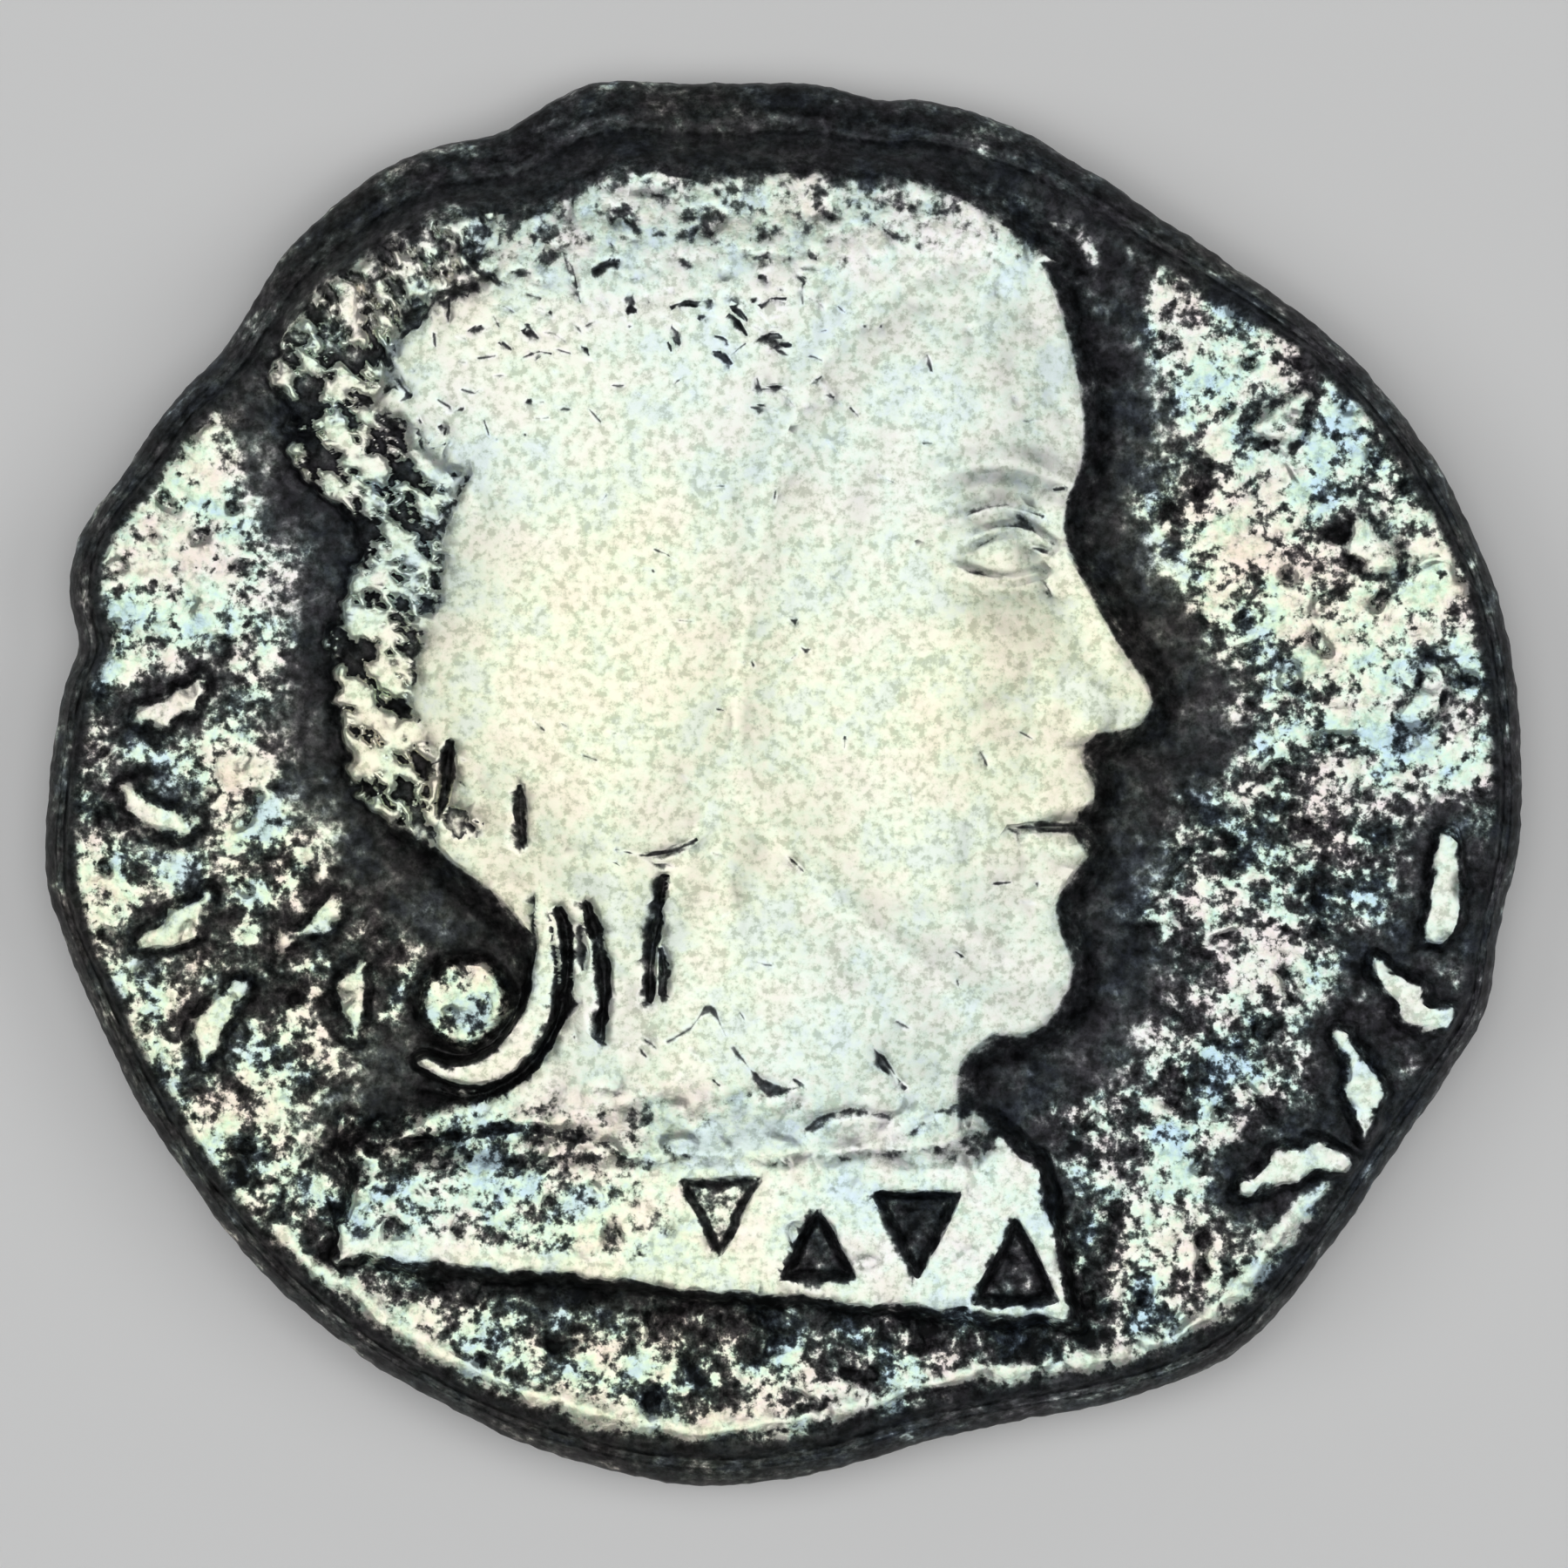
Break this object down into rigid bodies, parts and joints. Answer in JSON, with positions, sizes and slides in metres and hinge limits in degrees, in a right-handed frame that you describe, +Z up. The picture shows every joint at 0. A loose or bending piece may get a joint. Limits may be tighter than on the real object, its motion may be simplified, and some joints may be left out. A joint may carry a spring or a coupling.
{
  "type": "ancient silver drachm",
  "caption": "Small hand-struck silver coin, thin and nearly round, with a worn portrait in low relief above a banded collar; it lies flat on its reverse.",
  "frame": {"origin": "middle of the flan, on the plane that the coin rests on", "axes": "+Z up through the thickness, out of the portrait's side; +X across the portrait, the way that its profile looks; +Y towards the crown of the head"},
  "size_m": [0.0154, 0.0148, 0.0017],
  "materials": {
    "silver": "satin"
  },
  "bodies": {
    "root": {"drachm": "silver"}
  },
  "joints": []
}
